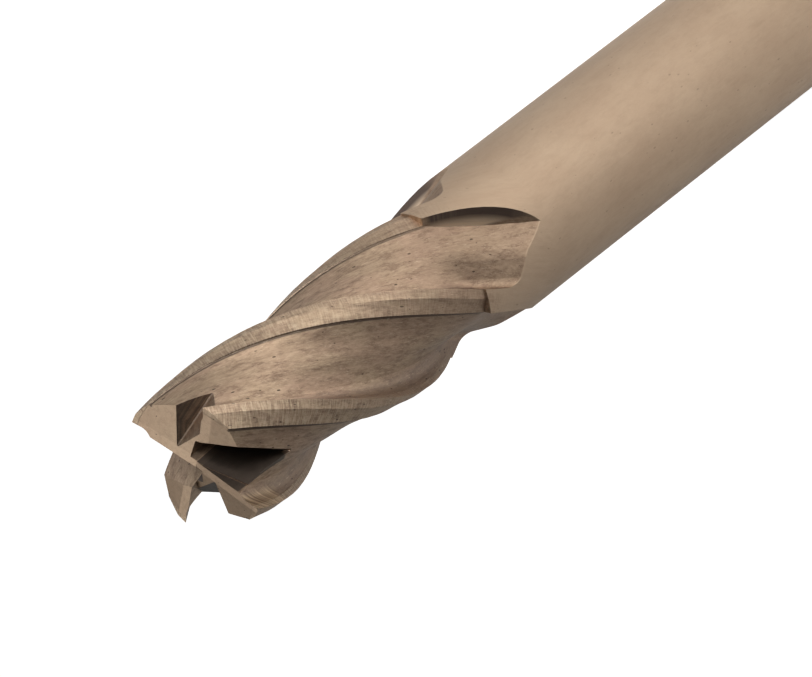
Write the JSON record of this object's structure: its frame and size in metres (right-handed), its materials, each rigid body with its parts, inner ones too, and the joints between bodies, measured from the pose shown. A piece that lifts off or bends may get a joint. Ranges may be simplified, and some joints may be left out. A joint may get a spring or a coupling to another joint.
{
  "type": "end mill",
  "caption": "Centre-cutting end mill with right-hand helical flutes, ground relief, gashed end teeth and a plain cylindrical shank.",
  "frame": {"origin": "middle of the shank end, where the tool's axis meets it", "axes": "+Z along the tool's axis from the shank end to the cutting end; +X through the corner of one of the two long end teeth; +Y ahead of it in the direction of cutting"},
  "size_m": [0.012, 0.012, 0.083],
  "materials": {
    "bronze_steel": "satin bronze-brown ground high-speed steel, streaked along the flutes"
  },
  "bodies": {
    "root": {"end_mill": "bronze_steel"}
  },
  "joints": []
}
